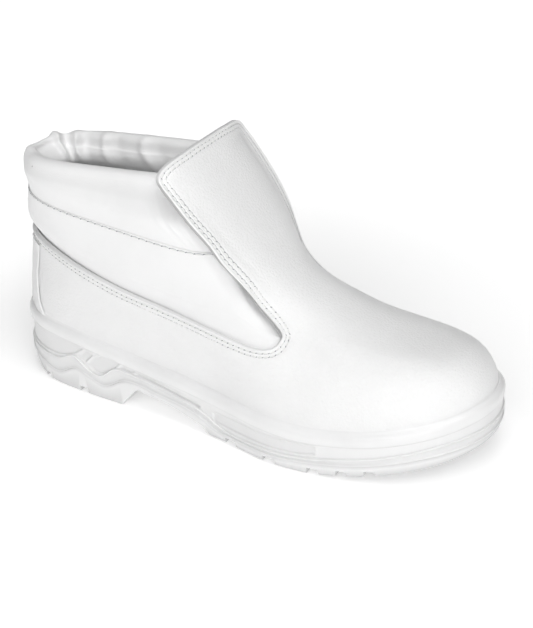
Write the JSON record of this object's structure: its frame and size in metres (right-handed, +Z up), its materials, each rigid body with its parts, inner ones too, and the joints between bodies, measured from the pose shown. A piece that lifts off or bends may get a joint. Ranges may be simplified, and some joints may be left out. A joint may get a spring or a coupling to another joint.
{
  "type": "slip-on safety boot",
  "caption": "Ankle-high white slip-on safety boot for the right foot: padded rolled collar, instep flap over an elastic gusset, and a lugged sole with a raised heel.",
  "frame": {"origin": "on the floor under the middle of the sole's length and width", "axes": "+X to the toe, +Y to the wearer's left, which is the inner side of this right boot, +Z up"},
  "size_m": [0.3, 0.108, 0.161],
  "materials": {
    "tread": "satin moulded polyurethane",
    "midsole": "satin moulded polyurethane",
    "insole": "matt felt",
    "upper": "fine grained, satin",
    "panel": "soft, fine grained, satin",
    "collar": "soft, fine grained, satin",
    "gusset": "matt elastic webbing",
    "backstay": "fine grained, satin"
  },
  "bodies": {
    "root": {"outsole": "tread", "midsole": "midsole", "insole": "insole", "upper": "upper", "ankle_panel": "panel", "collar": "collar", "gusset": "gusset", "backstay": "backstay"}
  },
  "joints": []
}
